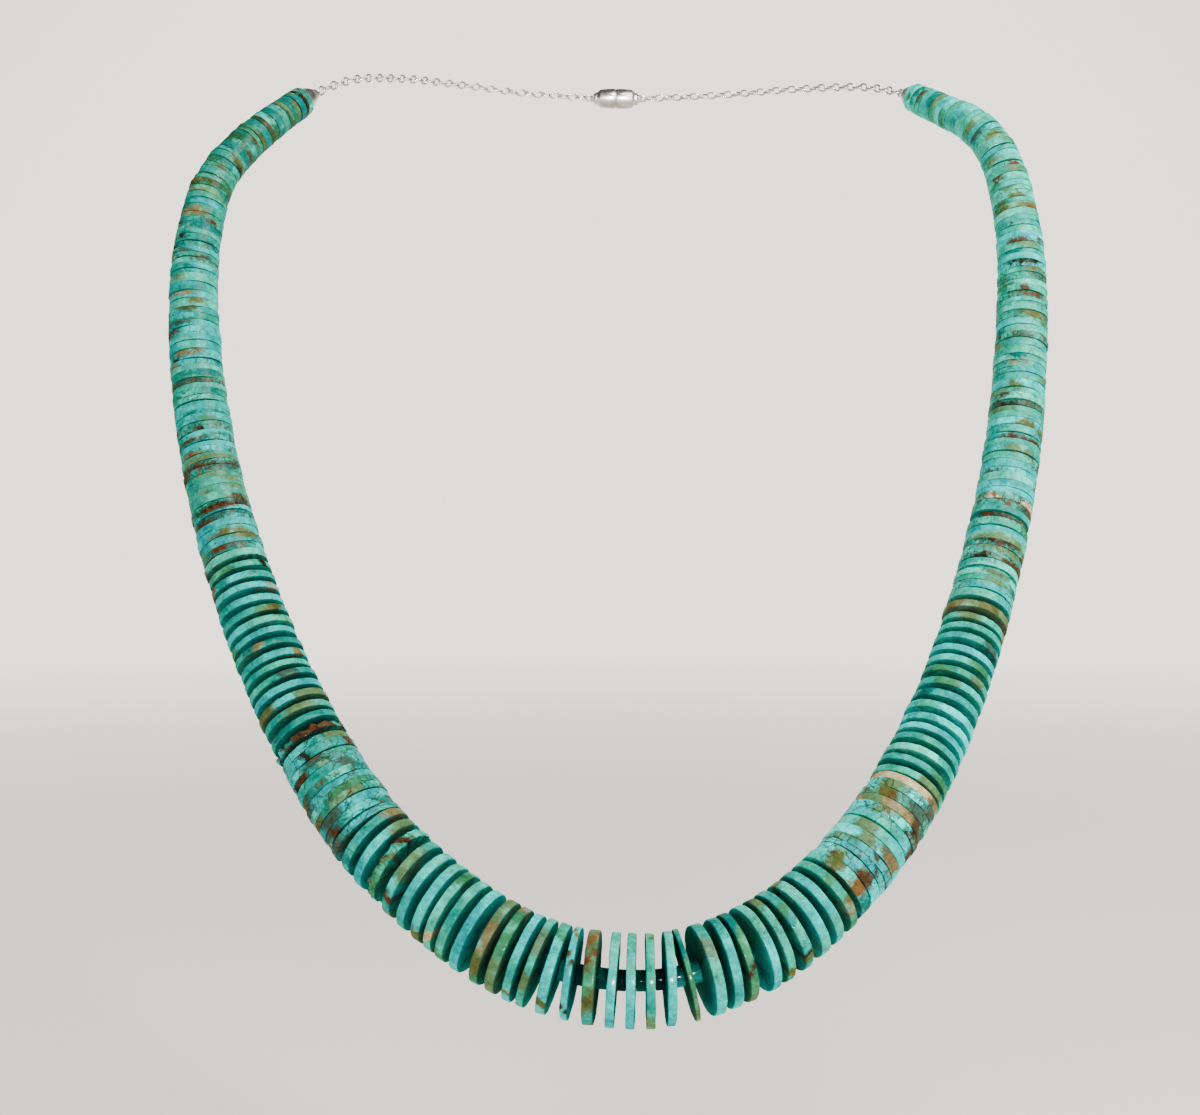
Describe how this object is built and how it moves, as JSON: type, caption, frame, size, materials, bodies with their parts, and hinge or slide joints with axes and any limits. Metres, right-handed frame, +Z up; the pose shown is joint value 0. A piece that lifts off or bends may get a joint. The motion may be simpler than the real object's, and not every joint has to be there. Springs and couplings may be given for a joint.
{
  "type": "beaded necklace",
  "caption": "Graduated necklace of thin round turquoise discs on a thread, largest at the front, with a thin silver chain and a barrel clasp at the nape, in its worn shape.",
  "frame": {"origin": "inner side of the loop at the nape, where the clasp lies against the back of the neck", "axes": "+Z up, the wearer faces -Y, +X to the viewer's right"},
  "size_m": [0.1472, 0.1379, 0.1638],
  "materials": {
    "turquoise": "polished stone with matrix veins",
    "thread": "twisted bead thread with small teal spacer beads",
    "silver": "worn silver"
  },
  "bodies": {
    "root": {"disc_01": "turquoise", "disc_02": "turquoise", "disc_03": "turquoise", "disc_04": "turquoise", "disc_05": "turquoise", "disc_06": "turquoise", "disc_07": "turquoise", "disc_08": "turquoise", "disc_09": "turquoise", "disc_10": "turquoise", "disc_11": "turquoise", "disc_12": "turquoise", "disc_13": "turquoise", "disc_14": "turquoise", "disc_15": "turquoise", "disc_16": "turquoise", "disc_17": "turquoise", "disc_18": "turquoise", "disc_19": "turquoise", "disc_20": "turquoise", "disc_21": "turquoise", "disc_22": "turquoise", "disc_23": "turquoise", "disc_24": "turquoise", "disc_25": "turquoise", "disc_26": "turquoise", "disc_27": "turquoise", "disc_28": "turquoise", "disc_29": "turquoise", "disc_30": "turquoise", "heishi_left_block": "turquoise", "heishi_right_block": "turquoise", "heishi_left_mid": "turquoise", "heishi_right_mid": "turquoise", "heishi_left_upper": "turquoise", "heishi_right_upper": "turquoise", "thread_front": "thread", "end_cone_left": "silver", "end_cone_right": "silver", "chain_left": "silver", "chain_right": "silver", "clasp": "silver"}
  },
  "joints": []
}
